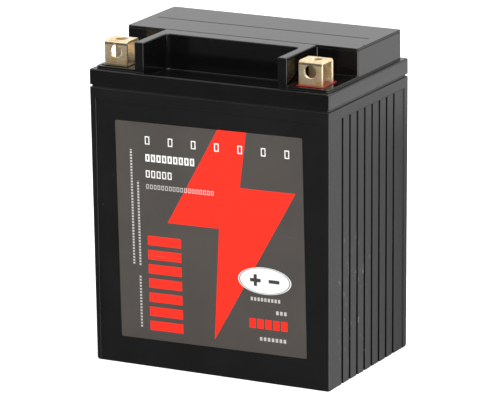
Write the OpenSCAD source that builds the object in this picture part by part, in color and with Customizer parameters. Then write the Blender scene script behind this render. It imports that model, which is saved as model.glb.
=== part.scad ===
// Sealed six-cell lead battery for a motorcycle, with a ribbed case, a lid with two terminal
// corners, and the complete plate packs inside.
// Frame: +X along the length, the label faces -Y, +Z up, origin at the centre of the base.

/* [Case] */
// Length of the case rim and of the lid
case_length = 134; // [115:1:170]
// Width of the case rim and of the lid, front to back
case_width = 89; // [80:1:115]
// Height of the full-width case wall
case_height = 141.6; // [125:0.2:180]
// How much each end leans in from rim to base
draft_ends = 1.1; // [0:0.1:2]
// How much the front and the back lean in from rim to base
draft_faces = 0.2; // [0:0.1:1]
// Thickness of the case wall at the base
wall = 2.7; // [2.2:0.1:4]
// Thickness of the case floor
floor_t = 3; // [2:0.1:5]
// Thickness of each wall between two cells
partition_t = 1.6; // [1:0.1:2.4]
// Radius of the upright corners
corner_r = 1.3; // [1:0.1:4]
// Height and inset of the rounded foot edge
foot_round = 1.4; // [0.5:0.1:3]

/* [Case panels] */
// Depth of the sunk panel on each face
panel_depth = 0.5; // [0.2:0.1:0.8]
// Distance from the case rim down to the panels
panel_drop = 5.6; // [3:0.1:12]
// Margin beside the front and back panels
face_margin = 3.6; // [2:0.1:10]
// Margin beside the end panels
end_margin = 4.6; // [3:0.1:8]
// Distance between two grooves of an end panel
groove_pitch = 8.2; // [7:0.1:9]
// Width of a groove
groove_w = 1.8; // [1:0.1:3]
// Depth of a groove below its panel
groove_depth = 1.2; // [0.4:0.1:1.3]

/* [Rim joint] */
// Height of the groove between case and lid
joint_height = 1.2; // [0.6:0.1:2]
// Depth of the groove between case and lid
joint_depth = 0.9; // [0.5:0.1:1]
// Thickness of the tongue that stands up inside the lid
tongue_t = 1.4; // [1:0.1:1.8]
// Height of the tongue above the joint
tongue_h = 3; // [2:0.1:5]
// Gap between the tongue and the lid
tongue_gap = 0.05; // [0.02:0.01:0.1]

/* [Lid] */
// Height of the lid's outer band
band_height = 7.95; // [7:0.05:11]
// Height of the raised block above the band
block_height = 15.25; // [14:0.25:20]
// Inset of the raised block at both ends
block_inset_end = 2.3; // [2:0.1:5]
// Inset of the raised block at the back
block_inset_back = 3.8; // [2:0.1:5]
// Depth of the raised block behind the terminal corners
block_depth = 49; // [42:1:60]
// Radius of the raised block's upright corners
block_r = 1.2; // [0.5:0.1:2.5]
// Wall of the raised block
block_wall = 2.2; // [1.6:0.1:3]
// Thickness of the roof over the cells
deck_t = 2.2; // [1.5:0.1:3]
// Height of the plinth above the band
plinth_height = 1.25; // [0.5:0.05:1.5]
// Inset of the plinth at the front
plinth_inset_front = 3.4; // [2.6:0.1:5]
// Clear width of the pocket between the arms
pocket_width = 74.8; // [60:0.2:78]
// Depth of the bridge between the pocket and the cover
bridge_depth = 9.1; // [6:0.1:14]
// Radius of the pocket's rear corners
pocket_r = 2.5; // [1:0.1:4]
// Thickness of the lip in front of the pocket
pocket_lip = 2; // [1.2:0.1:2.4]
// Thickness of an arm beside the pocket
arm_t = 5; // [3:0.1:5.6]
// Inset of the arms at the front
arm_inset_front = 3; // [2:0.1:5]

/* [Cover] */
// Thickness of the cover's edge, which lies on the block
cover_edge_t = 1; // [0.8:0.1:1.6]
// Thickness of the cover inside the block
cover_step_t = 1.6; // [1:0.1:2.5]
// Gap between the cover's step and the block
cover_gap = 0.1; // [0.05:0.01:0.3]
// Depth of the line sunk into the cover
cover_line_depth = 0.2; // [0.1:0.05:0.4]
// Width of the line sunk into the cover
cover_line_w = 0.7; // [0.4:0.1:1.5]
// Distance of the line from the cover's middle towards the front
cover_line_shift = 1.8; // [0:0.1:10]
// Distance of the line's ends from the cover's ends
cover_line_margin = 5; // [3:0.5:30]
// Distance from the cover's front edge to the vent nick
nick_setback = 7; // [3:0.5:30]
// Width of the vent nick in the cover's edge
nick_w = 1.8; // [1:0.1:4]
// Depth of the vent nick
nick_depth = 0.6; // [0.3:0.1:0.7]

/* [Label] */
// Width of the label
label_w = 104.5; // [80:0.5:106]
// Height of the label
label_h = 112; // [80:0.5:113]
// Thickness of the label
label_t = 0.2; // [0.1:0.05:0.3]
// Tilt of the label on the face, in degrees
label_tilt = 0.8; // [0:0.1:1]
// Radius of the label's corners
label_r = 0.8; // [0.5:0.1:5]
// Height of the label's centre above the middle of the case
label_rise = 0; // [-1:0.1:1]
// Distance of the label's centre to the right of the middle
label_shift = 0.5; // [-1:0.1:1]

/* [Terminals] */
// Distance from the left end to the middle of the negative terminal
negative_inset = 11.1; // [10.8:0.1:13]
// Distance from the right end to the middle of the positive terminal
positive_inset = 14.4; // [12:0.1:14.6]
// Distance from the front to the middle of both terminals
terminal_setback = 14.5; // [14.2:0.1:18]
// Width of a terminal
terminal_w = 12.8; // [11:0.1:13.4]
// Depth of a terminal, front to back
terminal_d = 12.4; // [11:0.1:14]
// Height of a terminal above the plinth
terminal_rise = 12.35; // [11:0.05:13]
// Sheet thickness of a terminal
sheet_t = 1.5; // [1:0.1:2]
// Outer radius of the terminal's bends
bend_r = 1.8; // [1.6:0.1:3]
// Diameter of the bolt holes
bolt_hole_d = 6.5; // [5:0.1:7]
// Distance from the terminal's top to the front hole
front_hole_drop = 5.3; // [5:0.1:6.5]
// Size of the sealing well along the length
well_w = 15.6; // [15:0.1:16]
// Size of the sealing well, front to back
well_d = 17.6; // [16:0.1:20]
// Depth of the sealing well below the plinth
well_depth = 1.4; // [1.2:0.1:2]
// Radius of the well's corners
well_r = 2.5; // [1:0.1:4]
// How far the sealing compound stands above the plinth
seal_rise = 0.4; // [0.2:0.1:0.8]

/* [Posts] */
// Diameter of a lead post
post_d = 8; // [6:0.1:9]
// Height of the post's domed end above the sealing compound
dome_rise = 2.6; // [1:0.1:3.5]
// Gap between a post and its hole in the lid
post_gap = 0.25; // [0.1:0.05:0.5]
// Outer diameter of the rubber ring round a post
ring_d = 12; // [10.5:0.1:13]
// Height of the rubber ring
ring_h = 2; // [1:0.1:2.5]

/* [Cells] */
// Positive plates in a cell
positive_count = 4; // [2:1:4]
// Thickness of a positive plate
positive_t = 1.9; // [1.2:0.1:1.9]
// Thickness of a negative plate
negative_t = 1.4; // [1:0.1:1.4]
// Thickness of a separator
separator_t = 0.5; // [0.3:0.1:0.5]
// Height of a plate
plate_h = 108; // [80:1:109]
// Gap between a plate's side edge and the case wall
plate_side_gap = 3; // [2:0.1:6]
// How far a separator reaches past the plates on each side
separator_lap = 1.3; // [0.5:0.1:1.8]
// How far a separator reaches above the plates
separator_top_lap = 2; // [1:0.1:4]
// Height of the ribs that the plates stand on
rest_h = 5; // [3:0.1:8]
// Width of a rib
rest_w = 2.4; // [1.5:0.1:4]
// Width of a plate's lug
lug_w = 8; // [6:0.1:11]
// Height of a plate's lug
lug_h = 10; // [8:0.1:12]
// Depth of the gel above the plates
gel_cover = 5; // [3:0.1:7]

/* [Straps] */
// Width of a strap, front to back
strap_w = 12; // [10:0.1:14]
// Thickness of a strap
strap_t = 5; // [3:0.1:6]
// Thickness of a strap's upright tab
tab_t = 2.5; // [2:0.1:4]
// Height of the upright tab above its strap
tab_h = 9; // [8.6:0.1:10]
// Diameter of the weld through a partition
weld_d = 7; // [5:0.1:8]

/* [Valves] */
// Outer diameter of a vent chimney
chimney_d = 10; // [8:0.1:11]
// Diameter of the vent inside a chimney
vent_d = 3.6; // [2.5:0.1:4]
// Height of a chimney above the roof over the cells
chimney_h = 9; // [7:0.1:10]
// Wall of a rubber valve cap
cap_wall = 1.3; // [1:0.1:1.8]
// Thickness of a valve cap's top
cap_top_t = 1.6; // [1:0.1:2]
// Depth of a valve cap's skirt
cap_skirt = 6.5; // [4:0.1:6.8]
// Gap between a cap's skirt and its chimney
cap_gap = 0.05; // [0.02:0.01:0.1]
// Highest lift of a valve cap
cap_lift = 0.5; // [0.3:0.1:0.8]
// Gap left between a lifted cap and the cover's peg
peg_gap = 0.1; // [0.05:0.05:0.3]
// Diameter of the pegs under the cover
peg_d = 7; // [5:0.1:9]

/* [Hidden] */
$fn = 64;
cut = 1; // how far a cutter reaches past the surface that it opens
cells = 6;
grooves = 8;
rests = 4;

// heights
band_bottom = case_height + joint_height;
band_top = band_bottom + band_height;
deck_bottom = band_bottom + tongue_h;
deck_top = deck_bottom + deck_t;
plinth_top = band_top + plinth_height;
top = band_top + block_height;
cover_seat = top - cover_edge_t;
panel_top = case_height - panel_drop;
terminal_top = plinth_top + terminal_rise;
well_floor = plinth_top - well_depth;
seal_top = plinth_top + seal_rise;
plate_bottom = floor_t + rest_h;
plate_top = plate_bottom + plate_h;
strap_bottom = plate_top + lug_h;
strap_top = strap_bottom + strap_t;
gel_top = plate_top + gel_cover;
seat_z = deck_top + chimney_h;

// places along the length (x) and front to back (y)
half_l = case_length / 2;
half_w = case_width / 2;
inner_half_l = half_l - draft_ends - wall;
inner_half_w = half_w - draft_faces - wall;
cell_w = (2 * inner_half_l - (cells - 1) * partition_t) / cells;
cell_pitch = cell_w + partition_t;
block_half_l = half_l - block_inset_end;
block_back = half_w - block_inset_back;
block_front = block_back - block_depth;
pocket_back = block_front - bridge_depth;
pocket_half = pocket_width / 2;
arm_front = -half_w + arm_inset_front;
terminal_y = -half_w + terminal_setback;
negative_x = -half_l + negative_inset;
positive_x = half_l - positive_inset;
valve_y = (block_front + block_back) / 2;
chamber_back = block_back - block_wall;
chamber_front = block_front + block_wall;

// plate pack
negative_count = positive_count + 1;
separator_count = 2 * positive_count;
pack_t = positive_count * positive_t + negative_count * negative_t + separator_count * separator_t;
plate_step = positive_t + negative_t + 2 * separator_t;
plate_half_w = inner_half_w - plate_side_gap;
strap_y = -terminal_y; // the straps lie in two rows, the front one under the terminals
weld_z = strap_top + tab_h / 2;

function cell_x(n) = (n - (cells + 1) / 2) * cell_pitch;
// the front row of an odd cell is negative, and the front row of an even cell is positive
function negative_side(n) = n % 2 == 1 ? -1 : 1;
function positive_side(n) = -negative_side(n);
// how far a face that leans in by `draft` has moved outwards at height z
function lean(draft, z) = draft * z / case_height;

module rounded_rect(l, w, r) {
    union() {
        square([l - 2 * r, w], center = true);
        square([l, w - 2 * r], center = true);
        for (x = [-1, 1], y = [-1, 1])
            translate([x * (l / 2 - r), y * (w / 2 - r)]) circle(r);
    }
}

// upright block with rounded corners between two heights
module slab(l, w, r, z0, z1) {
    translate([0, 0, z0]) linear_extrude(z1 - z0) rounded_rect(l, w, r);
}

// box from its lowest to its highest corner
module span(lo, hi) {
    translate(lo) cube(hi - lo);
}

// upright cylinder between two heights
module rod(x, y, d, z0, z1) {
    translate([x, y, z0]) cylinder(d = d, h = z1 - z0);
}

// ---- case -------------------------------------------------------------------

module case_body() {
    foot_l = case_length - 2 * draft_ends;
    foot_w = case_width - 2 * draft_faces;
    hull() {
        slab(case_length, case_width, corner_r, case_height - 0.1, case_height, $fn = 32);
        translate([0, 0, foot_round])
            linear_extrude(0.1) rounded_rect(foot_l, foot_w, corner_r, $fn = 32);
        linear_extrude(0.1)
            rounded_rect(foot_l - foot_round, foot_w - foot_round, corner_r, $fn = 32);
    }
}

// a wedge that cuts a face back to `depth` below its lean, from below the base up to `height`
module face_cutter(half, draft, depth, breadth, height) {
    low = -cut;
    base = half - draft - depth;
    rotate([90, 0, 90])
        translate([0, 0, -breadth / 2]) linear_extrude(breadth)
            polygon([[base + lean(draft, low), low], [half + cut, low],
                     [half + cut, height], [base + lean(draft, height), height]]);
}

module panels() {
    end_depth = panel_depth + groove_depth;
    for (turn = [0, 180]) rotate([0, 0, turn]) {
        face_cutter(half_w, draft_faces, panel_depth, case_length - 2 * face_margin, panel_top);
        rotate([0, 0, 90]) {
            face_cutter(half_l, draft_ends, panel_depth, case_width - 2 * end_margin, panel_top);
            for (i = [0 : grooves - 1])
                translate([(i - (grooves - 1) / 2) * groove_pitch, 0, 0])
                    face_cutter(half_l, draft_ends, end_depth, groove_w, panel_top);
        }
    }
}

module cell_space(n) {
    span([cell_x(n) - cell_w / 2, -inner_half_w, floor_t],
         [cell_x(n) + cell_w / 2, inner_half_w, deck_bottom + cut]);
}

module plate_rests(n) {
    for (i = [0 : rests - 1]) {
        y = (i - (rests - 1) / 2) * plate_half_w / 2;
        span([cell_x(n) - cell_w / 2, y - rest_w / 2, floor_t - cut],
             [cell_x(n) + cell_w / 2, y + rest_w / 2, plate_bottom]);
    }
}

// the hole through the partition on the right of cell n, filled by the weld
module weld(n) {
    translate([cell_x(n) + cell_w / 2, positive_side(n) * strap_y, weld_z])
        rotate([0, 90, 0]) cylinder(d = weld_d, h = partition_t);
}

module case() color("#212121") {
    union() {
        difference() {
            union() {
                case_body();
                slab(case_length - 2 * joint_depth, case_width - 2 * joint_depth, corner_r,
                     case_height, band_bottom);
                slab(2 * (inner_half_l + tongue_t), 2 * (inner_half_w + tongue_t), corner_r,
                     band_bottom, deck_bottom);
            }
            panels();
            for (n = [1 : cells]) cell_space(n);
            for (n = [1 : cells - 1]) weld(n);
        }
        for (n = [1 : cells]) plate_rests(n);
    }
}

// ---- lid --------------------------------------------------------------------

module lid_outline() {
    slab(case_length, case_width, corner_r, band_bottom, band_top);
    // plinth and raised block
    translate([0, (block_back - half_w + plinth_inset_front) / 2, 0])
        slab(2 * block_half_l, block_back + half_w - plinth_inset_front, corner_r,
             deck_top, plinth_top);
    translate([0, valve_y, 0])
        slab(2 * block_half_l, block_depth, block_r, deck_top, cover_seat);
    // arms and the bridge behind the pocket
    span([-pocket_half - arm_t, arm_front, deck_top], [pocket_half + arm_t, block_front, top]);
}

module pocket() {
    front = -half_w + pocket_lip;
    translate([0, 0, deck_top]) linear_extrude(top - deck_top + cut) {
        square_w = 2 * (pocket_half - pocket_r);
        union() {
            translate([-pocket_half, front]) square([pocket_width, pocket_back - pocket_r - front]);
            translate([-square_w / 2, front]) square([square_w, pocket_back - front]);
            for (x = [-1, 1])
                translate([x * (pocket_half - pocket_r), pocket_back - pocket_r]) circle(pocket_r);
        }
    }
    // nothing stands in front of the pocket above its lip
    span([-pocket_half, -half_w - cut, band_top], [pocket_half, front + cut, top + cut]);
}

// the gas space under the cover, which runs on under the bridge
module gas_chamber() {
    span([-block_half_l + block_wall, chamber_front, deck_top],
         [block_half_l - block_wall, chamber_back, cover_seat + cut]);
    span([-pocket_half - arm_t + block_wall, pocket_back + block_wall, deck_top],
         [pocket_half + arm_t - block_wall, chamber_front + cut, top - block_wall]);
}

module rim_socket() {
    grow = tongue_t + tongue_gap;
    slab(2 * (inner_half_l + grow), 2 * (inner_half_w + grow), corner_r,
         band_bottom - cut, deck_bottom);
}

module post_hole(x) {
    rod(x, terminal_y, post_d + 2 * post_gap, deck_bottom - cut, plinth_top);
    rod(x, terminal_y, ring_d, well_floor - ring_h, plinth_top);
    translate([x, terminal_y, 0]) slab(well_w, well_d, well_r, well_floor, plinth_top + cut);
}

module lid() color("#1c1c1c") {
    difference() {
        union() {
            difference() {
                lid_outline();
                pocket();
                gas_chamber();
                rim_socket();
                post_hole(negative_x);
                post_hole(positive_x);
            }
            for (n = [1 : cells]) rod(cell_x(n), valve_y, chimney_d, deck_top, seat_z);
        }
        for (n = [1 : cells]) rod(cell_x(n), valve_y, vent_d, deck_bottom - cut, seat_z + cut);
    }
}

module vent_cover() color("#2b2b2b") {
    middle = valve_y;
    step_l = 2 * (block_half_l - block_wall - cover_gap);
    step_w = block_depth - 2 * (block_wall + cover_gap);
    line_end = block_half_l - cover_line_margin;
    line_y = middle - cover_line_shift;
    difference() {
        union() {
            translate([0, middle, 0])
                slab(2 * block_half_l, block_depth, block_r, cover_seat, top);
            translate([0, middle, 0])
                slab(step_l, step_w, block_r, cover_seat - cover_step_t, cover_seat);
            for (n = [1 : cells])
                rod(cell_x(n), valve_y, peg_d, seat_z + cap_top_t + cap_lift + peg_gap, cover_seat);
        }
        // sunk line along the middle, and the vent nick in the right edge
        span([-line_end, line_y - cover_line_w / 2, top - cover_line_depth],
             [line_end, line_y + cover_line_w / 2, top + cut]);
        span([block_half_l - nick_depth, block_front + nick_setback, top - nick_depth],
             [block_half_l + cut, block_front + nick_setback + nick_w, top + cut]);
    }
}

// ---- label ------------------------------------------------------------------

// everything in front of the sunk front panel
module before_front_panel() {
    rotate([0, 0, 180]) face_cutter(half_w, draft_faces, panel_depth, case_length, panel_top);
}

// a skin that lies on the sunk front panel and leans with it
module front_label() color("#57554f") {
    middle = case_height / 2 + label_rise;
    intersection() {
        difference() {
            before_front_panel();
            translate([0, -label_t, 0]) before_front_panel();
        }
        translate([label_shift, 0, middle]) rotate([90, 0, 0])
            linear_extrude(case_width) rotate(label_tilt) rounded_rect(label_w, label_h, label_r);
    }
}

// ---- terminals --------------------------------------------------------------

// a flat strip folded into a square loop, open at both ends
module folded_strip(x) {
    height = terminal_top - well_floor;
    translate([x, terminal_y, well_floor + height / 2]) rotate([90, 0, 90])
        translate([0, 0, -terminal_w / 2]) linear_extrude(terminal_w) difference() {
            rounded_rect(terminal_d, height, bend_r);
            rounded_rect(terminal_d - 2 * sheet_t, height - 2 * sheet_t, bend_r - sheet_t);
        }
}

// the strip stands on its post hole, and has a bolt hole in front and one on top
module terminal(x) color("#d8c39a") {
    difference() {
        folded_strip(x);
        rod(x, terminal_y, post_d, well_floor - cut, well_floor + sheet_t + cut);
        rod(x, terminal_y, bolt_hole_d, terminal_top - sheet_t - cut, terminal_top + cut);
        translate([x, terminal_y, terminal_top - front_hole_drop]) rotate([90, 0, 0])
            cylinder(d = bolt_hole_d, h = terminal_d);
    }
}

// poured compound round the foot of a terminal, filling the well and lying on the foot inside
module seal(x) {
    difference() {
        translate([x, terminal_y, 0]) slab(well_w, well_d, well_r, well_floor, seal_top);
        folded_strip(x);
        rod(x, terminal_y, post_d, well_floor - cut, seal_top + cut);
    }
}

// lead post that stands on an end cell's strap and ends in a dome inside the terminal
module post(x) color("#8f8f8f") {
    dome_r = (pow(post_d / 2, 2) + pow(dome_rise, 2)) / (2 * dome_rise);
    union() {
        rod(x, terminal_y, post_d, strap_top, seal_top);
        translate([x, terminal_y, seal_top]) rotate_extrude() intersection() {
            translate([0, dome_rise - dome_r]) circle(dome_r);
            square([post_d, 2 * dome_rise]);
        }
    }
}

module post_ring(x) color("#1a1a1a") {
    edge = (ring_d - post_d) / 8;
    translate([x, terminal_y, well_floor - ring_h / 2]) rotate_extrude()
        translate([(ring_d + post_d) / 4, 0])
            rounded_rect((ring_d - post_d) / 2, ring_h, edge);
}

// ---- valves -----------------------------------------------------------------

module valve_cap(n) color("#262626") {
    bore_d = chimney_d + 2 * cap_gap;
    difference() {
        rod(cell_x(n), valve_y, bore_d + 2 * cap_wall, seat_z - cap_skirt, seat_z + cap_top_t);
        rod(cell_x(n), valve_y, bore_d, seat_z - cap_skirt - cut, seat_z);
    }
}

// ---- plate packs ------------------------------------------------------------

module plate(x, thickness, side) {
    span([x, -plate_half_w, plate_bottom], [x + thickness, plate_half_w, plate_top]);
    span([x, side * strap_y - lug_w / 2, plate_top - cut],
         [x + thickness, side * strap_y + lug_w / 2, strap_bottom]);
}

module positive_plates(n) color("#5a4334") {
    first = cell_x(n) - pack_t / 2 + negative_t + separator_t;
    for (i = [0 : positive_count - 1])
        union() plate(first + i * plate_step, positive_t, positive_side(n));
}

module negative_plates(n) color("#85888a") {
    first = cell_x(n) - pack_t / 2;
    for (i = [0 : negative_count - 1])
        union() plate(first + i * plate_step, negative_t, negative_side(n));
}

module separators(n) color("#e9e7dd") {
    half = plate_half_w + separator_lap;
    for (i = [0 : separator_count - 1]) {
        pair = floor(i / 2) * plate_step;
        x = cell_x(n) - pack_t / 2 + negative_t + pair + (i % 2) * (separator_t + positive_t);
        span([x, -half, plate_bottom], [x + separator_t, half, plate_top + separator_top_lap]);
    }
}

// bar across a cell's lugs, with an upright tab against the partition that it is welded through
module strap(n, side, tab) color("#9a9a98") {
    x = cell_x(n);
    y = side * strap_y;
    reach = tab == 0 ? 0 : (cell_w - pack_t) / 2;
    left = x - pack_t / 2 - (tab < 0 ? reach : 0);
    right = x + pack_t / 2 + (tab > 0 ? reach : 0);
    union() {
        span([left, y - strap_w / 2, strap_bottom], [right, y + strap_w / 2, strap_top]);
        if (tab != 0)
            span([tab < 0 ? left : right - tab_t, y - strap_w / 2, strap_bottom],
                 [tab < 0 ? left + tab_t : right, y + strap_w / 2, strap_top + tab_h]);
    }
}

// a positive strap is welded to the cell on its right, and a negative strap to the one on its left
module positive_strap(n) { strap(n, positive_side(n), n == cells ? 0 : 1); }
module negative_strap(n) { strap(n, negative_side(n), n == 1 ? 0 : -1); }

module partition_welds() color("#a8a8a6") {
    for (n = [1 : cells - 1]) weld(n);
}

// stiffened electrolyte round and above the plates
module gel(n) color("#cfd6d2") {
    half = plate_half_w + separator_lap;
    difference() {
        span([cell_x(n) - cell_w / 2, -inner_half_w, floor_t],
             [cell_x(n) + cell_w / 2, inner_half_w, gel_top]);
        span([cell_x(n) - pack_t / 2, -half, plate_bottom],
             [cell_x(n) + pack_t / 2, half, plate_top + separator_top_lap]);
        for (side = [-1, 1])
            span([cell_x(n) - pack_t / 2, side * strap_y - lug_w / 2, plate_top],
                 [cell_x(n) + pack_t / 2, side * strap_y + lug_w / 2, gel_top + cut]);
        plate_rests(n);
    }
}

case();
lid();
vent_cover();
front_label();
terminal(negative_x);  // negative_terminal
terminal(positive_x);  // positive_terminal
color("#181818") seal(negative_x);  // negative_seal
color("#8c140e") seal(positive_x);  // positive_seal
post(negative_x);  // negative_post
post(positive_x);  // positive_post
post_ring(negative_x);  // negative_post_ring
post_ring(positive_x);  // positive_post_ring
valve_cap(1);  // valve_cap_1
valve_cap(2);  // valve_cap_2
valve_cap(3);  // valve_cap_3
valve_cap(4);  // valve_cap_4
valve_cap(5);  // valve_cap_5
valve_cap(6);  // valve_cap_6
positive_plates(1);  // positive_plates_1
positive_plates(2);  // positive_plates_2
positive_plates(3);  // positive_plates_3
positive_plates(4);  // positive_plates_4
positive_plates(5);  // positive_plates_5
positive_plates(6);  // positive_plates_6
negative_plates(1);  // negative_plates_1
negative_plates(2);  // negative_plates_2
negative_plates(3);  // negative_plates_3
negative_plates(4);  // negative_plates_4
negative_plates(5);  // negative_plates_5
negative_plates(6);  // negative_plates_6
separators(1);  // separators_1
separators(2);  // separators_2
separators(3);  // separators_3
separators(4);  // separators_4
separators(5);  // separators_5
separators(6);  // separators_6
positive_strap(1);  // positive_strap_1
positive_strap(2);  // positive_strap_2
positive_strap(3);  // positive_strap_3
positive_strap(4);  // positive_strap_4
positive_strap(5);  // positive_strap_5
positive_strap(6);  // positive_strap_6
negative_strap(1);  // negative_strap_1
negative_strap(2);  // negative_strap_2
negative_strap(3);  // negative_strap_3
negative_strap(4);  // negative_strap_4
negative_strap(5);  // negative_strap_5
negative_strap(6);  // negative_strap_6
gel(1);  // gel_1
gel(2);  // gel_2
gel(3);  // gel_3
gel(4);  // gel_4
gel(5);  // gel_5
gel(6);  // gel_6
partition_welds();
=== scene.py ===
import math

import bmesh
import bpy
from mathutils import Matrix, Vector


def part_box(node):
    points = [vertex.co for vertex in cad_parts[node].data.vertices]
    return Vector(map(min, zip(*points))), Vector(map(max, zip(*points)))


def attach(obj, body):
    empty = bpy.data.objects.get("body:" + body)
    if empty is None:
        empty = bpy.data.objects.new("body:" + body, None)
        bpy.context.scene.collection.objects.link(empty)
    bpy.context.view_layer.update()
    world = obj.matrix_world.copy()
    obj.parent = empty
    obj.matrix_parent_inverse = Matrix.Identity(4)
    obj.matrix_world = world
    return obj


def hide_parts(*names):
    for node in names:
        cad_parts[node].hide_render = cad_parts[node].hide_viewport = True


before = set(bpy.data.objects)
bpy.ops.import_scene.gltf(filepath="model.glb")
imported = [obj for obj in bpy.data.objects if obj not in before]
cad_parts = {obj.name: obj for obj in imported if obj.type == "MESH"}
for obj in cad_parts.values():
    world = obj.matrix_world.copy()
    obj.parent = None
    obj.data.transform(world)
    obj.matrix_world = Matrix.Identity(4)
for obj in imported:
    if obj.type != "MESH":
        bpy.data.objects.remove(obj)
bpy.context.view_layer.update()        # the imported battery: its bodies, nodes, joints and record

mm = 0.001


# ---- Case ---------------------------------------------------------------------
# One injection moulding in black polypropylene. It leans in slightly towards its base, has a
# sunk panel on each face and upright grooves in both end panels, and is divided into six
# cells. A neck and a tongue at its rim carry the lid. The mould leaves a fine satin grain.

case_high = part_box("case")[1]
lid_low, lid_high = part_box("lid")
half_length, half_width = case_high.x / mm, case_high.y / mm
corner = 1.3
joint_height = 1.2
neck_bottom = lid_low.z / mm - joint_height
tongue_top = case_high.z / mm
end_lean, face_lean = 1.1, 0.2
foot_height, foot_inset, foot_steps = 1.4, 0.7, 6
neck_inset = 0.9
tongue_end_inset, tongue_face_inset = 2.4, 1.5
panel_depth, panel_top = 0.5, neck_bottom - 5.6
inner_half_length, inner_half_width = 63.2, 41.6
cell_total, cell_wall, cell_depth, floor_thickness = 6, 1.6, 150.0, 3
cell_wide = (2 * inner_half_length - (cell_total - 1) * cell_wall) / cell_total
merge_within = 0.002 * mm


def corner_ring(half_l, half_w, radius):
    """The corners' points of a rounded rectangle, once round, in millimetres."""
    points, steps = [], 8
    for quarter, (sx, sy) in enumerate(((1, 1), (-1, 1), (-1, -1), (1, -1))):
        for step in range(steps + 1):
            turn = math.pi / 2 * (quarter + step / steps)
            points.append((sx * (half_l - radius) + radius * math.cos(turn),
                           sy * (half_w - radius) + radius * math.sin(turn)))
    return points


def stacked_rings(rings):
    """A closed mesh through rings of (points, height), from the lowest to the highest."""
    shape = bmesh.new()
    rows = [[shape.verts.new((x * mm, y * mm, z * mm)) for x, y in points] for points, z in rings]
    for below, above in zip(rows, rows[1:]):
        for i in range(len(below)):
            j = (i + 1) % len(below)
            shape.faces.new((below[i], below[j], above[j], above[i]))
    shape.faces.new(list(reversed(rows[0])))
    shape.faces.new(rows[-1])
    return shape


def piece_from(shape, name):
    mesh = bpy.data.meshes.new(name)
    shape.to_mesh(mesh)
    shape.free()
    piece = bpy.data.objects.new(name, mesh)
    bpy.context.scene.collection.objects.link(piece)
    return piece


def settle(piece):
    """Makes what the modifiers give the piece's own mesh, and takes them off."""
    seen = piece.evaluated_get(bpy.context.evaluated_depsgraph_get())
    made = bpy.data.meshes.new_from_object(seen)
    piece.modifiers.clear()
    piece.data = made
    return piece


def soften(piece, radius_at, sharp_from=28):
    """Rounds each edge over sharp_from degrees by radius_at of its middle, in millimetres."""
    widest, crease = 2.0, 40
    shape = bmesh.new()
    shape.from_mesh(piece.data)
    weight = shape.edges.layers.float.get("bevel_weight_edge")
    weight = weight or shape.edges.layers.float.new("bevel_weight_edge")
    for edge in shape.edges:
        if len(edge.link_faces) == 2 and edge.calc_face_angle() > math.radians(sharp_from):
            middle = (edge.verts[0].co + edge.verts[1].co) / 2 / mm
            edge[weight] = radius_at(middle) / widest
    shape.to_mesh(piece.data)
    shape.free()
    piece.data.polygons.foreach_set("use_smooth", [True] * len(piece.data.polygons))
    round_over = piece.modifiers.new("round over", "BEVEL")
    round_over.limit_method = "WEIGHT"
    round_over.width = widest * mm
    round_over.segments = 3
    round_over.miter_outer = "MITER_ARC"
    round_over.use_clamp_overlap = False
    settle(piece)
    shape = bmesh.new()
    shape.from_mesh(piece.data)
    bmesh.ops.remove_doubles(shape, verts=shape.verts, dist=merge_within)
    bmesh.ops.dissolve_degenerate(shape, edges=shape.edges, dist=merge_within)
    shape.to_mesh(piece.data)
    shape.free()
    piece.data.set_sharp_from_angle(angle=math.radians(crease))
    even = piece.modifiers.new("even shading", "WEIGHTED_NORMAL")
    even.keep_sharp = True
    return settle(piece)


class Tree:
    """Adds geometry nodes to one node group and links them."""

    def __init__(self, name):
        self.group = bpy.data.node_groups.new(name, "GeometryNodeTree")
        sockets = self.group.interface
        for way in ("INPUT", "OUTPUT"):
            sockets.new_socket("Geometry", in_out=way, socket_type="NodeSocketGeometry")
        self.start = self.group.nodes.new("NodeGroupInput")
        self.end = self.group.nodes.new("NodeGroupOutput")

    def size(self, name, kind="Float"):
        """A named input of the tree."""
        self.group.interface.new_socket(name, in_out="INPUT", socket_type="NodeSocket" + kind)
        return self.start.outputs[name]

    def node(self, kind, settings=None, sockets=None, out=0):
        made = self.group.nodes.new(kind)
        for name, value in (settings or {}).items():
            setattr(made, name, value)
        for name, value in (sockets or {}).items():
            for item in value if isinstance(value, list) else [value]:
                if isinstance(item, bpy.types.NodeSocket):
                    self.group.links.new(item, made.inputs[name])
                else:
                    made.inputs[name].default_value = item
        return made.outputs[out]

    def sum(self, operation, a, b):
        return self.node("ShaderNodeMath", {"operation": operation}, {0: a, 1: b})

    def vector(self, x, y, z):
        return self.node("ShaderNodeCombineXYZ", {}, {"X": x, "Y": y, "Z": z})

    def finish(self, geometry, material):
        whole = self.node("GeometryNodeRealizeInstances", {}, {"Geometry": geometry})
        coated = self.node("GeometryNodeSetMaterial", {}, {"Geometry": whole, "Material": material})
        self.group.links.new(coated, self.end.inputs["Geometry"])
        return self.group

    def grow(self, piece, values):
        """Runs the tree on a piece with these named sizes, and keeps the mesh it gives."""
        modifier = piece.modifiers.new(self.group.name, "NODES")
        modifier.node_group = self.group
        for item in self.group.interface.items_tree:
            if item.in_out == "INPUT" and item.name in values:
                modifier[item.identifier] = values[item.name]
        return settle(piece)


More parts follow.
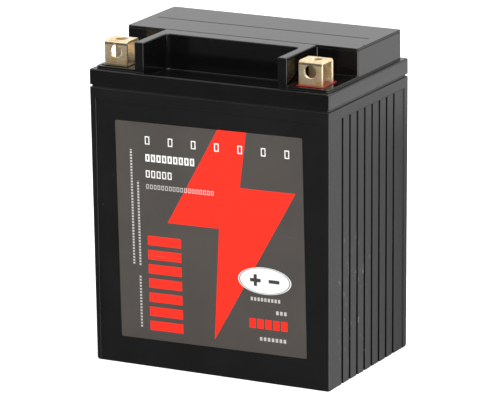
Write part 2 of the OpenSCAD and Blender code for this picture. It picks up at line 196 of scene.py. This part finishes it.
class Shade:
    """A socket of a material's nodes. Sums on it add Math nodes."""

    def __init__(self, tree, socket=None):
        self.tree, self.socket = tree, socket

    def node(self, kind, settings=None, sockets=None, out=0):
        made = self.tree.nodes.new("ShaderNode" + kind)
        for name, value in (settings or {}).items():
            setattr(made, name, value)
        for name, value in (sockets or {}).items():
            if isinstance(value, Shade):
                self.tree.links.new(value.socket, made.inputs[name])
            else:
                made.inputs[name].default_value = value
        return Shade(self.tree, made.outputs[out])

    def sum(self, operation, *values):
        return self.node("Math", {"operation": operation}, dict(enumerate(values)))

    def __add__(self, other): return self.sum("ADD", self, other)
    def __radd__(self, other): return self.sum("ADD", other, self)
    def __sub__(self, other): return self.sum("SUBTRACT", self, other)
    def __rsub__(self, other): return self.sum("SUBTRACT", other, self)
    def __mul__(self, other): return self.sum("MULTIPLY", self, other)
    def __rmul__(self, other): return self.sum("MULTIPLY", other, self)
    def __gt__(self, other): return self.sum("GREATER_THAN", self, other)
    def __lt__(self, other): return self.sum("LESS_THAN", self, other)
    def __abs__(self): return self.sum("ABSOLUTE", self)
    def __mod__(self, other): return self.sum("FLOORED_MODULO", self, other)

    def either(self, other): return self.sum("MAXIMUM", self, other)

    def blend(self, a, b):
        """Colour a where this is 0 and colour b where it is 1."""
        ends = [(*x, 1) if isinstance(x, tuple) else x for x in (a, b)]
        return self.node("Mix", {"data_type": "RGBA"}, {0: self, 6: ends[0], 7: ends[1]}, out=2)

    def noise(self, scale, detail=3.0, roughness=0.55, distortion=0.0):
        """Noise on this vector, with `scale` cells to a metre."""
        return self.node("TexNoise", {}, {"Vector": self, "Scale": scale, "Detail": detail,
                                          "Roughness": roughness, "Distortion": distortion})

    def stretched(self, x, y, z):
        return self.node("VectorMath", {"operation": "MULTIPLY"}, {0: self, 1: (x, y, z)})

    def between(self, low, high):
        """0 below low, 1 above high, and smooth between them."""
        return self.node("MapRange", {"interpolation_type": "SMOOTHSTEP"},
                         {"Value": self, "From Min": low, "From Max": high})

    def bump(self, depth, strength, under=None):
        """Relief of a depth in millimetres, over the relief that `under` gives."""
        sockets = {"Height": self, "Distance": depth * mm, "Strength": strength}
        if under:
            sockets["Normal"] = under
        return self.node("Bump", {}, sockets)


class Finish:
    """A material: its surface shader and the place that its patterns are drawn in."""

    def __init__(self, name, **constants):
        self.material = bpy.data.materials.new(name)
        self.material.use_nodes = True
        self.skin = self.material.node_tree.nodes["Principled BSDF"]
        self.place = Shade(self.material.node_tree).node("TexCoord", {}, {}, out="Object")
        for name, value in constants.items():
            self.skin.inputs[name.replace("_", " ")].default_value = value

    def wear(self, **sockets):
        for name, value in sockets.items():
            worn = self.skin.inputs[name.replace("_", " ")]
            self.material.node_tree.links.new(value.socket, worn)
        return self.material

    def axes(self):
        """The place's x, y and z, in millimetres."""
        place = {"Vector": self.place}
        parts = [self.place.node("SeparateXYZ", {}, place, out=i) for i in range(3)]
        return [part * (1 / mm) for part in parts]


def black_moulding(name, tone, roughness, scuffs):
    """Satin black plastic: mottling, mould grain, dust specks, rubbed streaks and knocked ribs."""
    speck_size, speck_from, end_wall = 0.045, 0.86, 60
    knock_y, knock_z, knock_breadth, knock_height = -16, 42, 24, 40
    finish = Finish(name, Specular_IOR_Level=0.42)
    place = finish.place
    cloud = place.noise(38, 4)
    grain = place.noise(2300, 2, 0.6)
    ripple = place.noise(90, 2)
    streak = place.stretched(70, 260, 22).noise(1, 4, 0.62, 0.4).between(0.60, 0.74)
    patch = place.noise(21, 2).between(0.48, 0.66)
    rubbed = streak * patch * scuffs
    cells = {"Vector": place, "Scale": 150.0}
    distance = place.node("TexVoronoi", {}, cells, out="Distance")
    lot = place.node("TexVoronoi", {}, cells, out="Color")
    chance = place.node("SeparateColor", {}, {"Color": lot}, out=0)
    speck = (distance < speck_size) * (chance > speck_from) * (0.25 + 0.75 * scuffs)
    colour = cloud.between(0.3, 0.7).blend(tuple(0.75 * c for c in tone), tone)
    colour = rubbed.blend(colour, (0.05, 0.05, 0.05))
    colour = speck.blend(colour, (0.09, 0.09, 0.088))
    x, y, z = finish.axes()
    knocked = ((1 - abs(y - knock_y) * (1 / knock_breadth)).between(0, 0.5)
               * (1 - abs(z - knock_z) * (1 / knock_height)).between(0, 0.5))
    chips = place.stretched(1, 620, 160).noise(1, 4, 0.68).between(0.625, 0.67)
    chips = chips * knocked * (x > end_wall)
    colour = (chips * 0.8).blend(colour, (0.30, 0.30, 0.29))
    dull = roughness + (cloud - 0.5) * 0.10 + rubbed * 0.10 + speck * 0.2 + chips * 0.3
    relief = ripple.bump(0.02, 0.35, under=grain.bump(0.012, 0.5))
    return finish.wear(Base_Color=colour, Roughness=dull, Normal=relief)


case_black = black_moulding("case black", (0.0075, 0.0075, 0.0077), 0.30, 0.55)

body_rings = []
for step in range(foot_steps + 1):
    turn = math.pi / 2 * step / foot_steps
    inset = foot_inset * (1 - math.sin(turn))
    height = foot_height * (1 - math.cos(turn))
    foot = corner_ring(half_length - end_lean - inset, half_width - face_lean - inset, corner)
    body_rings.append((foot, height))
neck = corner_ring(half_length - neck_inset, half_width - neck_inset, corner)
tongue = corner_ring(half_length - tongue_end_inset, half_width - tongue_face_inset, corner)
body_rings += [(corner_ring(half_length, half_width, corner), neck_bottom), (neck, neck_bottom),
               (neck, lid_low.z / mm), (tongue, lid_low.z / mm), (tongue, tongue_top)]
case_shell = piece_from(stacked_rings(body_rings), "case_shell")

# Boxes cut the panels, the end grooves and the cells. Those for the panels and the grooves
# lean with the wall that they are cut into.
moulding = Tree("case moulding")
half_l, half_w = moulding.size("Half length"), moulding.size("Half width")
lean_l, lean_w = moulding.size("End lean"), moulding.size("Face lean")
top = moulding.size("Panel top")
sunk = moulding.size("Panel depth")
margin_face, margin_end = moulding.size("Face margin"), moulding.size("End margin")
count, pitch = moulding.size("Grooves", "Int"), moulding.size("Groove pitch")
groove_width, groove_depth = moulding.size("Groove width"), moulding.size("Groove depth")
cell_count, cell_pitch = moulding.size("Cells", "Int"), moulding.size("Cell pitch")
cell_size, cell_middle = moulding.size("Cell size", "Vector"), moulding.size("Cell middle")
rim = moulding.size("Rim")


def leaning_box(tree, breadth, face, depth, lean):
    """A box outside the +X wall at `face`, `depth` deep in it, leaning out by `lean` at the rim."""
    thick, below = 0.01, 0.01
    height = tree.sum("ADD", top, below)
    size = tree.vector(thick, breadth, height)
    box = tree.node("GeometryNodeMeshCube", {}, {"Size": size}, out="Mesh")
    inner = tree.sum("SUBTRACT", tree.sum("SUBTRACT", face, lean), depth)
    middle = tree.sum("SUBTRACT", tree.sum("MULTIPLY", height, 0.5), below)
    box = tree.node("GeometryNodeTransform", {}, {
        "Geometry": box, "Translation": tree.vector(thick / 2, 0.0, middle)})
    turn = tree.vector(0.0, tree.sum("ARCTAN2", lean, rim), 0.0)
    return tree.node("GeometryNodeTransform", {}, {
        "Geometry": box, "Translation": tree.vector(inner, 0.0, 0.0), "Rotation": turn})


def facing(tree, geometry, quarter):
    """The geometry turned by so many quarters, and again for the opposite wall."""
    made = []
    for turn in (quarter, quarter + 2):
        made.append(tree.node("GeometryNodeTransform", {}, {
            "Geometry": geometry, "Rotation": (0.0, 0.0, turn * math.pi / 2)}))
    return made


def row_of(tree, geometry, number, step, axis):
    """Copies in a row along an axis, centred on the origin."""
    across = tree.sum("MULTIPLY", tree.sum("SUBTRACT", number, 1), 0.5)
    first = tree.sum("MULTIPLY", tree.sum("MULTIPLY", across, step), -1.0)
    start = tree.vector(*[first if i == axis else 0.0 for i in range(3)])
    offset = tree.vector(*[step if i == axis else 0.0 for i in range(3)])
    line = tree.node("GeometryNodeMeshLine", {"mode": "OFFSET"},
                     {"Count": number, "Start Location": start, "Offset": offset})
    placed = tree.node("GeometryNodeInstanceOnPoints", {}, {"Points": line, "Instance": geometry})
    return tree.node("GeometryNodeRealizeInstances", {}, {"Geometry": placed})


def cut(tree, solid, cutters):
    return tree.node("GeometryNodeMeshBoolean", {"operation": "DIFFERENCE", "solver": "EXACT"},
                     {"Mesh 1": solid, "Mesh 2": cutters}, out="Mesh")


def less(tree, half, margin):
    """A whole breadth from its half, with a margin off both sides."""
    return tree.sum("MULTIPLY", tree.sum("SUBTRACT", half, margin), 2.0)


body = moulding.start.outputs["Geometry"]
end_panel = leaning_box(moulding, less(moulding, half_w, margin_end), half_l, sunk, lean_l)
face_panel = leaning_box(moulding, less(moulding, half_l, margin_face), half_w, sunk, lean_w)
body = cut(moulding, body, facing(moulding, end_panel, 0) + facing(moulding, face_panel, 1))
groove_bottom = moulding.sum("ADD", sunk, groove_depth)
groove = leaning_box(moulding, groove_width, half_l, groove_bottom, lean_l)
grooves = row_of(moulding, groove, count, pitch, 1)
body = cut(moulding, body, facing(moulding, grooves, 0))
cell = moulding.node("GeometryNodeMeshCube", {}, {"Size": cell_size}, out="Mesh")
cell = moulding.node("GeometryNodeTransform", {}, {"Geometry": cell,
                     "Translation": moulding.vector(0.0, 0.0, cell_middle)})
body = cut(moulding, body, [row_of(moulding, cell, cell_count, cell_pitch, 0)])
moulding.finish(body, case_black)
moulding.grow(case_shell, {
    "Half length": half_length * mm, "Half width": half_width * mm,
    "End lean": end_lean * mm, "Face lean": face_lean * mm,
    "Panel top": panel_top * mm, "Panel depth": panel_depth * mm,
    "Face margin": 3.6 * mm, "End margin": 4.6 * mm,
    "Grooves": 8, "Groove pitch": 8.2 * mm, "Groove width": 1.8 * mm, "Groove depth": 1.2 * mm,
    "Cells": cell_total, "Cell pitch": (cell_wide + cell_wall) * mm, "Rim": neck_bottom * mm,
    "Cell size": (cell_wide * mm, 2 * inner_half_width * mm, cell_depth * mm),
    "Cell middle": (floor_thickness + cell_depth / 2) * mm})


def case_edges(at):
    """Rounds the shoulder under the lid and the outer skin, and leaves the foot and the inside."""
    end_skin, face_skin, near = 4.2, 2.2, 0.1
    shoulder_round, skin_round = 0.45, 0.24
    outside = abs(at.x) > half_length - end_skin or abs(at.y) > half_width - face_skin
    if not outside or at.z > neck_bottom + near or at.z < foot_height:
        return 0.0
    return shoulder_round if at.z > neck_bottom - near else skin_round


soften(case_shell, case_edges)
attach(case_shell, "battery")
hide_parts("case")


# ---- Plates, separators and gel -----------------------------------------------
# Each cell holds four positive and five negative plates, cast lead grids with pressed-in
# paste, with glass mats between them. A stiff gel fills the cell round and above the plates.

def pasted_grid(name, paste, lead_tone):
    """Paste in a cast grid: a net of thin bars shows through a rough, cracked face."""
    upright_pitch, upright_width, cross_pitch, cross_width = 7.5, 0.9, 5.2, 0.8
    finish = Finish(name)
    x, y, z = finish.axes()
    bars = ((y % upright_pitch) < upright_width).either((z % cross_pitch) < cross_width)
    cloud = finish.place.noise(120, 5, 0.6)
    crumb = finish.place.noise(900, 3, 0.7)
    crack = finish.place.node("TexVoronoi", {"feature": "DISTANCE_TO_EDGE"},
                              {"Vector": finish.place, "Scale": 260.0}, out="Distance")
    colour = cloud.blend(tuple(0.6 * c for c in paste), paste)
    colour = (bars * 0.45).blend(colour, lead_tone)
    colour = ((crack < 0.02) * 0.5).blend(colour, tuple(0.3 * c for c in paste))
    return finish.wear(Base_Color=colour, Roughness=0.72 + crumb * 0.2,
                       Normal=(crumb + bars * 0.6).bump(0.12, 0.6))


def coat(node, material):
    """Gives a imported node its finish."""
    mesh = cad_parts[node].data
    mesh.materials.clear()
    mesh.materials.append(material)


brown_paste = pasted_grid("lead dioxide paste", (0.085, 0.045, 0.026), (0.25, 0.25, 0.26))
grey_paste = pasted_grid("sponge lead paste", (0.20, 0.21, 0.22), (0.32, 0.32, 0.33))

mat = Finish("glass fibre mat", Roughness=0.95, Sheen_Weight=0.3)
fibres = mat.place.stretched(1, 9, 1).noise(420, 4, 0.7, 0.8)
cross_fibres = mat.place.stretched(1, 1, 9).noise(420, 4, 0.7, 0.8)
web = fibres.either(cross_fibres)
fleece = web.between(0.35, 0.7).blend((0.62, 0.61, 0.56), (0.86, 0.85, 0.80))
glass_mat = mat.wear(Base_Color=fleece, Normal=web.bump(0.05, 0.7))

jelly = Finish("stiff gel", Coat_Weight=0.3, Coat_Roughness=0.2)
swirl = jelly.place.noise(60, 4, 0.5, 0.6)
silica_gel = jelly.wear(Base_Color=swirl.blend((0.55, 0.60, 0.58), (0.72, 0.76, 0.74)),
                        Roughness=0.22 + swirl * 0.25,
                        Normal=jelly.place.noise(300, 3).bump(0.05, 0.4))

for cell_number in range(1, 7):
    coat(f"positive_plates_{cell_number}", brown_paste)
    coat(f"negative_plates_{cell_number}", grey_paste)
    coat(f"separators_{cell_number}", glass_mat)
    coat(f"gel_{cell_number}", silica_gel)


# ---- Straps, welds and posts --------------------------------------------------
# Cast lead. A strap joins the plates' lugs in each cell, a weld goes through each cell wall,
# and a post rises from each end strap and ends in a grey dome inside its terminal.

cast = Finish("cast lead", Metallic=0.85)
bloom = cast.place.noise(160, 5, 0.6)
pits = cast.place.noise(700, 3, 0.6)
tarnish = bloom.between(0.3, 0.7).blend((0.17, 0.17, 0.175), (0.40, 0.40, 0.405))
cast_lead = cast.wear(Base_Color=tarnish,
                      Roughness=0.42 + bloom * 0.3,
                      Normal=pits.bump(0.06, 0.5))


def copy_of(node, name, material):
    """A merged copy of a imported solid, with its flat faces whole again."""
    flat = math.radians(0.6)
    shape = bmesh.new()
    shape.from_mesh(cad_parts[node].data)
    bmesh.ops.remove_doubles(shape, verts=shape.verts, dist=merge_within)
    bmesh.ops.dissolve_limit(shape, angle_limit=flat, verts=shape.verts, edges=shape.edges)
    piece = piece_from(shape, name)
    piece.data.materials.clear()
    piece.data.materials.append(material)
    return piece


for cell_number in range(1, 7):
    coat(f"positive_strap_{cell_number}", cast_lead)
    coat(f"negative_strap_{cell_number}", cast_lead)
coat("partition_welds", cast_lead)
cast_round = 0.15
for side in ("negative", "positive"):
    post = copy_of(f"{side}_post", f"{side}_cast_post", cast_lead)
    soften(post, lambda at: cast_round, sharp_from=35)
    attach(post, "battery")
    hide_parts(f"{side}_post")


# ---- Lid ----------------------------------------------------------------------
# One moulding in the same black plastic: an outer band, a raised block at the back, two
# forward arms with an open pocket between them, and a low plinth in each front corner. Its
# outer edges are well rounded, and it is welded onto the case's tongue.

lid_black = black_moulding("lid black", (0.0045, 0.0045, 0.0047), 0.12, 0.35)
band_top, plinth_top, block_top = 150.75, 152.0, lid_high.z / mm
post_places = [(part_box(n)[0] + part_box(n)[1]) / 2 / mm for n in ("negative_post", "positive_post")]


def lid_edges(at):
    """Rounds what shows of the lid, and leaves its underside and what the cover hides."""
    near, lowest_seen = 0.1, band_top - 2.9
    on_rim = abs(at.x) > half_length - 1 or abs(at.y) > half_width - 1
    if on_rim:
        if abs(at.z - band_top) < near:
            return 0.8
        return 0.35 if at.z < lid_low.z / mm + near else 0.0
    if at.z < lowest_seen:
        return 0.0
    plinth_x, plinth_y = 7.9, 8.9
    for post in post_places:
        if abs(at.x - post.x) < plinth_x and abs(at.y - post.y) < plinth_y:
            return 0.25 if at.z > plinth_top - near else 0.0
    inside_block = abs(at.x) < 62.8 and -6.3 < at.y < 38.7
    under_bridge = abs(at.x) < 40.4 and -15.4 < at.y < -6.0 and at.z < 163.9
    if inside_block or under_bridge:
        return 0.0
    if abs(at.z - band_top) < near or abs(at.z - plinth_top) < near:
        return 0.3
    return 0.6 if at.z > block_top - 2 else 0.55


lid_shell = copy_of("lid", "lid_shell", lid_black)
soften(lid_shell, lid_edges)
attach(lid_shell, "battery")
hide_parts("lid")


# ---- Rubber rings and valve caps ----------------------------------------------
# Moulded black rubber. A ring seals each post in the lid, and a cap on each cell's chimney
# lifts to let gas out.

rubber = Finish("moulded rubber", Specular_IOR_Level=0.35)
bloom = rubber.place.noise(220, 4)
valve_rubber = rubber.wear(Base_Color=bloom.blend((0.012, 0.012, 0.012), (0.03, 0.03, 0.029)),
                           Roughness=0.66 + bloom * 0.2,
                           Normal=rubber.place.noise(1600, 2).bump(0.02, 0.5))
for node in ["negative_post_ring", "positive_post_ring"] + [f"valve_cap_{n}" for n in range(1, 7)]:
    coat(node, valve_rubber)


# ---- Terminals ----------------------------------------------------------------
# Brass strip, thinly tinned, folded into a square loop that is open at both ends, with a
# bolt hole in front and one on top. The sheared and punched edges are bright.

plated = Finish("tinned brass", Metallic=0.80)
x, y, z = plated.axes()
haze = plated.place.noise(210, 5, 0.6)
smear = plated.place.stretched(1, 1, 5).noise(380, 4, 0.6, 0.5)
tin = haze.between(0.35, 0.62)
colour = tin.blend((0.92, 0.66, 0.33), (0.94, 0.80, 0.56))
colour = (smear.between(0.50, 0.66) * 0.45).blend(colour, (0.42, 0.33, 0.22))
# Painted reflection: a dark band painted across the front face just under the top bend stands in for
# the bend's dark reflection, broken up by the tin's haze.
front_face, bend_reflection_low, bend_reflection_high = -35.9, (161.9, 162.7), (163.2, 163.7)
bend_reflection_band = (y < front_face) * z.between(*bend_reflection_low) * (1 - z.between(*bend_reflection_high))
colour = (bend_reflection_band * haze.between(0.25, 0.5) * 0.85).blend(colour, (0.09, 0.085, 0.08))
tinned_brass = plated.wear(Base_Color=colour,
                           Roughness=0.25 + haze * 0.14 + smear.between(0.5, 0.7) * 0.12,
                           Normal=smear.bump(0.02, 0.5))
sheared_round = 0.22
for side in ("negative", "positive"):
    strip = copy_of(f"{side}_terminal", f"{side}_folded_strip", tinned_brass)
    soften(strip, lambda at: sheared_round, sharp_from=35)
    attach(strip, "battery")
    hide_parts(f"{side}_terminal")


# ---- Sealing compound ---------------------------------------------------------
# Epoxy poured round the foot of each terminal, black at the negative end and red at the
# positive one. It set with a glossy, slightly uneven top.

def poured(name, shaded_low_tone, lit_high_tone):
    """Glossy compound, painted lighter where its relief stands higher and darker where it sinks:
    painted light and shade on the swells.
    """
    finish = Finish(name, Specular_IOR_Level=0.6, Coat_Weight=0.2, Coat_Roughness=0.12)
    swell = finish.place.noise(130, 3)
    # The colour follows the relief's own noise: painted light on the raised swells and painted shade
    # in the dips.
    return finish.wear(Base_Color=swell.between(0.35, 0.65).blend(shaded_low_tone, lit_high_tone),
                       Roughness=0.12 + swell * 0.12,
                       Normal=swell.bump(0.35, 0.7))


compounds = {"negative": poured("black compound", (0.006, 0.006, 0.006), (0.016, 0.016, 0.016)),
             "positive": poured("red compound", (0.13, 0.003, 0.002), (0.24, 0.006, 0.004))}
pool_top, pool_round = 152.3, 0.15
for side, compound in compounds.items():
    pool = copy_of(f"{side}_seal", f"{side}_pool", compound)
    soften(pool, lambda at: pool_round if at.z > pool_top else 0.0)
    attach(pool, "battery")
    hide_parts(f"{side}_seal")


# ---- Vent cover ---------------------------------------------------------------
# A flat plate in the lid's black plastic, welded onto the raised block over the valve caps.
# A shallow line runs along its middle, and gas leaves through a nick in its right edge.

cover_plate = copy_of("vent_cover", "cover_plate", lid_black)


def cover_edges(at):
    """Rounds the outer edge of the top well, and the sunk line and the lower edge only a little."""
    well, little = 0.5, 0.12
    if at.z > 165.9:
        return well if abs(at.x) > 63.4 or at.y > 39.4 or at.y < -7 else little
    return little if abs(at.x) > 64 or at.y > 40 or at.y < -8 else 0.0


soften(cover_plate, cover_edges)
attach(cover_plate, "battery")
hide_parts("vent_cover")


# ---- Front label --------------------------------------------------------------
# A printed grey film on the sunk front panel, stuck on slightly askew. Its print is a red
# bolt, a red level gauge, an oval badge with the two poles' signs, and lines of small marks.

label_low, label_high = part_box("front_label")
label_middle = (label_low.z + label_high.z) / 2 / mm
label_shift = (label_low.x + label_high.x) / 2 / mm
film = Finish("printed film", Specular_IOR_Level=0.22)
x, y, z = film.axes()
skew = math.radians(0.8)
rise, x = z - label_middle, x - label_shift
u = x * math.cos(skew) + rise * math.sin(skew)
v = rise * math.cos(skew) - x * math.sin(skew)


def edge_line(start, end):
    """How far across the line through two points lies at each height."""
    slope = (end[0] - start[0]) / (end[1] - start[1])
    return v * slope + (start[0] - slope * start[1])


def marks(along, across, ends, band, pitch, ink):
    """A printed line of short marks, each `ink` long in every `pitch`."""
    run = ((along - ends[0]) % pitch) < ink
    return run * (along > ends[0]) * (along < ends[1]) * (across > band[0]) * (across < band[1])


def outlined(along, across, ends, band, pitch, ink, stroke):
    """The same printed line, with each mark drawn as an outline."""
    within = abs((along - ends[0]) % pitch - ink / 2) < ink / 2 - stroke
    within = within * (abs(across - (band[0] + band[1]) / 2) < (band[1] - band[0]) / 2 - stroke)
    return marks(along, across, ends, band, pitch, ink) * (1 - within)


# The bolt's corners, as the way across and the height from the label's middle.
tip, crown_left, crown_right = (1.0, -52.0), (5.4, 56.0), (21.4, 56.0)
left_notch, left_point = (5.0, 5.6), (-24.0, 5.6)
right_notch, right_point = (17.2, 27.6), (48.0, 27.6)
upper, wing = v > left_point[1], v > right_point[1]
left_side = (edge_line(tip, left_notch) * (1 - upper)
             + edge_line(left_point, crown_left) * upper)
right_side = (edge_line(tip, right_point) * (1 - wing)
              + edge_line(right_notch, crown_right) * wing)
bolt = (u > left_side) * (u < right_side)
gauge = marks(v, u, (-51.0, 0.4), (-35.6, -16.8), 7.35, 4.9)
rating = marks(u, v, (20.8, 42.4), (-43.4, -38.4), 4.4, 3.5)
red = bolt.either(gauge).either(rating)
title = outlined(u, v, (-35.6, 45.2), (44.9, 49.1), 13.0, 2.6, 0.55)
code = outlined(u, v, (-35.6, -7.4), (36.2, 40.0), 3.15, 2.4, 0.8)
number = outlined(u, v, (-35.6, -20.4), (28.0, 31.7), 3.1, 2.2, 0.55)
bright = title.either(code).either(number)
phrase = outlined(u, v, (-35.6, 2.8), (22.2, 24.5), 2.15, 1.5, 0.36)
address = marks(v, u, (-17.4, 41.7), (-44.3, -43.2), 1.5, 0.95)
address = address.either(marks(v, u, (-17.8, 25.8), (-40.8, -39.7), 1.5, 0.95))
address = address.either(marks(v, u, (-49.9, -22.9), (-41.0, -39.9), 1.6, 0.95))
small = marks(u, v, (21.8, 38.2), (-29.2, -27.4), 1.9, 1.2)
small = small.either(marks(u, v, (35.8, 42.4), (-35.3, -33.4), 2.2, 1.4))
small = small.either(marks(u, v, (26.4, 41.2), (-49.5, -47.6), 2.2, 1.4))
pale = phrase.either(address).either(small)
badge_at, badge_half, plus_at, minus_at = (29.8, -18.6), (14.8, 6.9), 24.6, 35.0
sign_arm, sign_stroke = 3.0, 0.9
across, along = (u - badge_at[0]) * (1 / badge_half[0]), (v - badge_at[1]) * (1 / badge_half[1])
oval = across * across + along * along
badge, badge_rim = oval < 1.0, (oval > 0.86) * (oval < 0.92)
sign_up = abs(v - badge_at[1])
plus = (((abs(u - plus_at) < sign_arm) * (sign_up < sign_stroke))
        .either((abs(u - plus_at) < sign_stroke) * (sign_up < sign_arm)))
minus = (abs(u - minus_at) < sign_arm) * (sign_up < sign_stroke)
signs = plus.either(minus).either(badge_rim)

fleck = film.place.noise(700, 3)
shade = film.place.noise(30, 3)
colour = shade.between(0.3, 0.7).blend((0.064, 0.057, 0.051), (0.072, 0.064, 0.057))
colour = red.blend(colour, (0.90, 0.019, 0.005))
colour = bright.blend(colour, (0.80, 0.80, 0.78))
colour = (pale * 0.75).blend(colour, (0.62, 0.61, 0.59))
colour = badge.blend(colour, (0.80, 0.80, 0.80))
colour = (badge * signs).blend(colour, (0.045, 0.045, 0.045))
scratch = film.place.stretched(14, 1, 620).noise(1, 3, 0.6, 0.7).between(0.70, 0.76)
colour = (scratch * 0.10).blend(colour, (0.5, 0.5, 0.5))
coat("front_label", film.wear(
    Base_Color=colour,
    Roughness=0.50 + (fleck - 0.5) * 0.12 + red * 0.03 + scratch * 0.08,
    Normal=(fleck * 0.5 + red * 0.6 + bright * 0.6).bump(0.012, 0.5)))


# ---- Studio -------------------------------------------------------------------
# Not part of the battery: a plain pale floor, a glowing surround with two bright strips,
# three large soft lights, a black card and a camera with a long lens.

def square_piece(name, half, material):
    """A flat square on the ground, round the origin."""
    shape = bmesh.new()
    bmesh.ops.create_grid(shape, x_segments=1, y_segments=1, size=half)
    piece = piece_from(shape, name)
    piece.data.materials.append(material)
    return piece


paper = Finish("studio paper", Base_Color=(0.88, 0.88, 0.88, 1), Roughness=0.9,
               Emission_Color=(1, 1, 1, 1), Emission_Strength=0.3)
studio_floor = square_piece("studio_floor", 6.0, paper.material)
studio_floor.visible_glossy = False

world = bpy.context.scene.world or bpy.data.worlds.new("studio")
bpy.context.scene.world = world
world.use_nodes = True
sky = Shade(world.node_tree)
direction = sky.node("TexCoord", {}, {}, out="Generated")
depth = sky.node("SeparateXYZ", {}, {"Vector": direction}, out="Y")
height = sky.node("SeparateXYZ", {}, {"Vector": direction}, out="Z")
left_strip = sky.node("VectorMath", {"operation": "DOT_PRODUCT"},
                      {0: direction, 1: (-0.85, 0.46, -0.26)}, out="Value")
right_strip = sky.node("VectorMath", {"operation": "DOT_PRODUCT"},
                       {0: direction, 1: (0.95, -0.17, -0.26)}, out="Value")
back_glow, lost_above, front_glow, left_glow, right_glow = 1.24, 0.50, 0.145, 7.0, 6.0
above = height.between(-0.3, 0.3)
glow = depth.between(-0.6, 0.6) * (back_glow - above * lost_above) + front_glow
glow = glow + left_strip.between(0.90, 0.98) * left_glow
glow = glow + right_strip.between(0.93, 0.985) * right_glow
backdrop = world.node_tree.nodes["Background"]
backdrop.inputs["Color"].default_value = (1, 1, 1, 1)
world.node_tree.links.new(glow.socket, backdrop.inputs["Strength"])


def soft_light(name, azimuth, elevation, distance, size, power):
    """A square soft light that points at the middle of the battery."""
    aim = Vector((0, 0, 0.08))
    a, e = math.radians(azimuth), math.radians(elevation)
    away = Vector((math.sin(a) * math.cos(e), -math.cos(a) * math.cos(e), math.sin(e)))
    lamp = bpy.data.lights.new(name, "AREA")
    lamp.shape, lamp.size, lamp.energy = "SQUARE", size, power
    holder = bpy.data.objects.new(name, lamp)
    holder.location = aim + away * distance
    holder.rotation_mode = "QUATERNION"
    holder.rotation_quaternion = away.to_track_quat("Z", "Y")
    bpy.context.scene.collection.objects.link(holder)


soft_light("key", 35, 52, 1.6, 1.2, 25)
soft_light("left fill", -60, 35, 1.8, 1.2, 10)
soft_light("rear top", 160, 60, 1.6, 1.4, 16)

# A black card low behind the right end, which only reflections see. It shades the end ribs.
velvet = Finish("black velvet", Base_Color=(0.004, 0.004, 0.004, 1), Specular_IOR_Level=0.0)
card_half = 0.5
card = square_piece("black_card", card_half, velvet.material)
card_along, card_across = Vector((0.466, 0.885, 0)), Vector((0.885, -0.466, 0))
card_corner = card_along * 0.34 + card_across * 0.034 + Vector((0, 0, 0.055))
card_middle = card_corner - card_across * card_half - Vector((0, 0, card_half))
card.matrix_world = Matrix.Translation(card_middle) @ Matrix(
    (card_across, Vector((0, 0, 1)), -card_along)).transposed().to_4x4()
card.visible_camera = card.visible_diffuse = card.visible_shadow = False

azimuth, elevation, roll = math.radians(27.82), math.radians(14.81), math.radians(-0.64)
camera_distance, aim_height, aim_right, aim_up = 2.1675, 0.083, -0.32, -2.84
back = Vector((math.sin(azimuth) * math.cos(elevation), -math.cos(azimuth) * math.cos(elevation),
               math.sin(elevation)))
right = Vector((math.cos(azimuth), math.sin(azimuth), 0))
up = back.cross(right)
aim = Vector((0, 0, aim_height)) + right * aim_right * mm + up * aim_up * mm
tilted_right = right * math.cos(roll) + up * math.sin(roll)
tilted_up = up * math.cos(roll) - right * math.sin(roll)
camera = bpy.data.objects.new("camera", bpy.data.cameras.new("camera"))
camera.data.sensor_width, camera.data.lens = 36.0, 309.85
camera.data.clip_start, camera.data.clip_end = 0.05, 50.0
camera.matrix_world = Matrix.Translation(aim + back * camera_distance) @ Matrix(
    (tilted_right, tilted_up, back)).transposed().to_4x4()
bpy.context.scene.collection.objects.link(camera)
bpy.context.scene.camera = camera
bpy.context.scene.view_settings.view_transform = "Standard"
